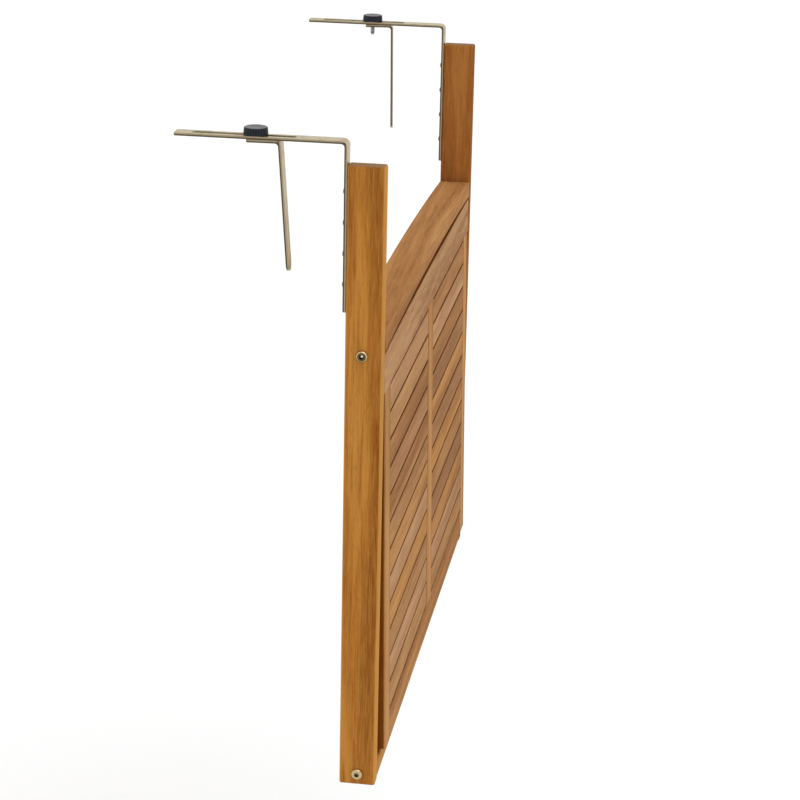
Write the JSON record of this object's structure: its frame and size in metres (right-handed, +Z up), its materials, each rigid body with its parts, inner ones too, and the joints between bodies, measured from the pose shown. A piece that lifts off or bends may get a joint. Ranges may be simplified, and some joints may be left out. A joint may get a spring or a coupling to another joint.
{
  "type": "folding balcony table",
  "caption": "Slatted wooden table that folds down between two posts, hung on a railing by slotted steel brackets with knob clamps and held up by a hinged prop.",
  "frame": {"origin": "half way between the posts, where their back plane meets the plane of the arms' undersides, which is the top of the railing", "axes": "+X along the railing to the right of the person at the table, +Y towards the railing, +Z up"},
  "size_m": [0.6325, 0.1886, 0.6079],
  "materials": {
    "oiled_hardwood": "satin oil",
    "yellow_zinc_steel": "yellow zinc plated",
    "bright_zinc_steel": "bright zinc plated",
    "insert_steel": "zinc plated",
    "black_plastic": "moulded"
  },
  "bodies": {
    "frame": {"left_post": "oiled_hardwood", "right_post": "oiled_hardwood", "stretcher": "oiled_hardwood", "stretcher_bolts": "yellow_zinc_steel", "stretcher_inserts": "insert_steel", "left_cleat": "oiled_hardwood", "right_cleat": "oiled_hardwood", "cleat_screws": "yellow_zinc_steel", "left_bracket": "yellow_zinc_steel", "right_bracket": "yellow_zinc_steel", "bracket_screws": "yellow_zinc_steel"},
    "tabletop": {"rear_rail": "oiled_hardwood", "rear_dowels": "oiled_hardwood", "left_batten": "oiled_hardwood", "right_batten": "oiled_hardwood", "batten_screws": "yellow_zinc_steel", "left_stile": "oiled_hardwood", "right_stile": "oiled_hardwood", "centre_stile": "oiled_hardwood", "top_rail": "oiled_hardwood", "front_rail": "oiled_hardwood", "left_slat_01": "oiled_hardwood", "left_slat_02": "oiled_hardwood", "left_slat_03": "oiled_hardwood", "left_slat_04": "oiled_hardwood", "left_slat_05": "oiled_hardwood", "left_slat_06": "oiled_hardwood", "left_slat_07": "oiled_hardwood", "left_slat_08": "oiled_hardwood", "left_slat_09": "oiled_hardwood", "left_slat_10": "oiled_hardwood", "left_slat_11": "oiled_hardwood", "left_slat_12": "oiled_hardwood", "right_slat_01": "oiled_hardwood", "right_slat_02": "oiled_hardwood", "right_slat_03": "oiled_hardwood", "right_slat_04": "oiled_hardwood", "right_slat_05": "oiled_hardwood", "right_slat_06": "oiled_hardwood", "right_slat_07": "oiled_hardwood", "right_slat_08": "oiled_hardwood", "right_slat_09": "oiled_hardwood", "right_slat_10": "oiled_hardwood", "right_slat_11": "oiled_hardwood", "right_slat_12": "oiled_hardwood", "pivot_bolts": "yellow_zinc_steel", "pivot_inserts": "insert_steel", "prop_bolts": "yellow_zinc_steel"},
    "prop": {"left_prop_arm": "oiled_hardwood", "right_prop_arm": "oiled_hardwood", "prop_bar": "oiled_hardwood"},
    "left_slider": {"left_washer": "bright_zinc_steel"},
    "left_knob": {"left_knob": "black_plastic", "left_stud": "bright_zinc_steel"},
    "left_clamp": {"left_clamp": "yellow_zinc_steel"},
    "right_slider": {"right_washer": "bright_zinc_steel"},
    "right_knob": {"right_knob": "black_plastic", "right_stud": "bright_zinc_steel"},
    "right_clamp": {"right_clamp": "yellow_zinc_steel"}
  },
  "joints": [
    {"name": "tabletop_fold", "type": "hinge", "parent": "frame", "child": "tabletop", "pos_m": [0, -0.0152, -0.1853], "axis": [-1, 0, 0], "range_deg": [0, 89.05]},
    {"name": "prop_swing", "type": "hinge", "parent": "tabletop", "child": "prop", "pos_m": [0, -0.01369, -0.33535], "axis": [1, 0, 0], "range_deg": [0, 130.69]},
    {"name": "left_clamp_slide", "type": "slide", "parent": "frame", "child": "left_slider", "axis": [0, 1, 0], "range_m": [-0.032, 0.052]},
    {"name": "left_knob_turn", "type": "hinge", "parent": "left_slider", "child": "left_knob", "pos_m": [-0.3055, 0.08, 0.006], "axis": [0, 0, 1], "continuous": true},
    {"name": "left_clamp_swivel", "type": "hinge", "parent": "left_slider", "child": "left_clamp", "pos_m": [-0.3055, 0.08, -0.0015], "axis": [0, 0, 1], "continuous": true},
    {"name": "right_clamp_slide", "type": "slide", "parent": "frame", "child": "right_slider", "axis": [0, 1, 0], "range_m": [-0.032, 0.052]},
    {"name": "right_knob_turn", "type": "hinge", "parent": "right_slider", "child": "right_knob", "pos_m": [0.3055, 0.08, 0.006], "axis": [0, 0, 1], "continuous": true},
    {"name": "right_clamp_swivel", "type": "hinge", "parent": "right_slider", "child": "right_clamp", "pos_m": [0.3055, 0.08, -0.0015], "axis": [0, 0, 1], "continuous": true}
  ]
}
